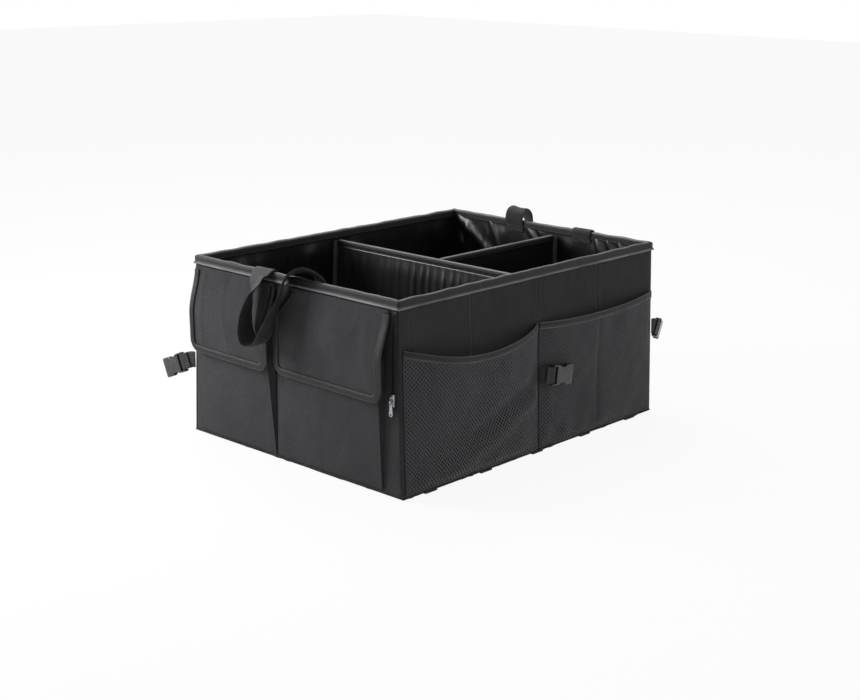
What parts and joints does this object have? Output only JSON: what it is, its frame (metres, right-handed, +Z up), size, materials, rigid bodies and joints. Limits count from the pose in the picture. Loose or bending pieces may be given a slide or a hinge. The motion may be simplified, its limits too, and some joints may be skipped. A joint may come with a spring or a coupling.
{
  "type": "car trunk organizer",
  "caption": "Collapsible soft-sided box for a car trunk with lidded end pockets, mesh side pockets, dividers, webbing handles and tie-down buckles.",
  "frame": {"origin": "under the middle of the base, on the floor that it stands on", "axes": "+X along the length, away from the lidded pockets; +Z up; the mesh pockets face -Y"},
  "size_m": [0.7126, 0.5273, 0.3032],
  "materials": {
    "oxford_cloth": "matte woven polyester, coated",
    "lining_nylon": "satin lining nylon",
    "stiffener_board": "matte fluted polypropylene board",
    "binding_tape": "ribbed polyester tape",
    "pocket_mesh": "knitted polyester mesh",
    "webbing": "woven polypropylene webbing",
    "buckle_plastic": "moulded acetal, satin",
    "hook_and_loop": "fuzzy hook and loop strip",
    "zip_metal": "gunmetal plated zinc"
  },
  "bodies": {
    "organizer": {"base_cloth": "oxford_cloth", "mesh_side_cloth": "oxford_cloth", "plain_side_cloth": "oxford_cloth", "pocket_end_cloth": "oxford_cloth", "far_end_cloth": "oxford_cloth", "pocket_left": "oxford_cloth", "pocket_right": "oxford_cloth", "base_lining": "lining_nylon", "mesh_side_lining": "lining_nylon", "plain_side_lining": "lining_nylon", "pocket_end_lining": "lining_nylon", "far_end_lining": "lining_nylon", "cross_divider": "lining_nylon", "cross_divider_cover": "lining_nylon", "long_divider": "lining_nylon", "base_board_pocket_half": "stiffener_board", "base_board_far_half": "stiffener_board", "mesh_side_board_pocket_half": "stiffener_board", "mesh_side_board_far_half": "stiffener_board", "plain_side_board_pocket_half": "stiffener_board", "plain_side_board_far_half": "stiffener_board", "pocket_end_board": "stiffener_board", "far_end_board": "stiffener_board", "rim_binding": "binding_tape", "mesh_tape_near": "binding_tape", "mesh_tape_far": "binding_tape", "cross_divider_binding": "binding_tape", "long_divider_binding": "binding_tape", "zip_tape": "binding_tape", "zip_coil": "binding_tape", "mesh_pocket_near": "pocket_mesh", "mesh_pocket_far": "pocket_mesh", "handle_near": "webbing", "handle_far": "webbing", "strap_left": "webbing", "strap_right": "webbing", "strap_front": "webbing", "buckle_left": "buckle_plastic", "buckle_right": "buckle_plastic", "buckle_front": "buckle_plastic", "grip_strip_1": "hook_and_loop", "grip_strip_2": "hook_and_loop", "grip_strip_3": "hook_and_loop", "grip_strip_4": "hook_and_loop", "grip_strip_5": "hook_and_loop", "pocket_loop_strip_left": "hook_and_loop", "pocket_loop_strip_right": "hook_and_loop", "loop_strip_mesh_side": "hook_and_loop", "loop_strip_plain_side": "hook_and_loop", "loop_strip_far_end": "hook_and_loop", "loop_strip_cross_divider": "hook_and_loop"},
    "pocket_lid_left": {"lid_left": "oxford_cloth", "lid_binding_left": "binding_tape", "lid_hook_strip_left": "hook_and_loop"},
    "pocket_lid_right": {"lid_right": "oxford_cloth", "lid_binding_right": "binding_tape", "lid_hook_strip_right": "hook_and_loop"},
    "zip_slider": {"zip_slider": "zip_metal"},
    "zip_pull": {"zip_pull": "zip_metal"}
  },
  "joints": [
    {"name": "lid_left_hinge", "type": "hinge", "parent": "organizer", "child": "pocket_lid_left", "pos_m": [-0.2955, 0.1185, 0.2663], "axis": [0, 1, 0], "range_deg": [0, 150], "deforming": ["handle_near"]},
    {"name": "lid_right_hinge", "type": "hinge", "parent": "organizer", "child": "pocket_lid_right", "pos_m": [-0.2955, -0.088, 0.2663], "axis": [0, 1, 0], "range_deg": [0, 150]},
    {"name": "zip_slide", "type": "slide", "parent": "organizer", "child": "zip_slider", "axis": [0, 0, 1], "range_m": [0, 0.112]},
    {"name": "zip_pull_hinge", "type": "hinge", "parent": "zip_slider", "child": "zip_pull", "pos_m": [-0.2983, -0.205, 0.1415], "axis": [0, 1, 0], "range_deg": [0, 150]}
  ]
}
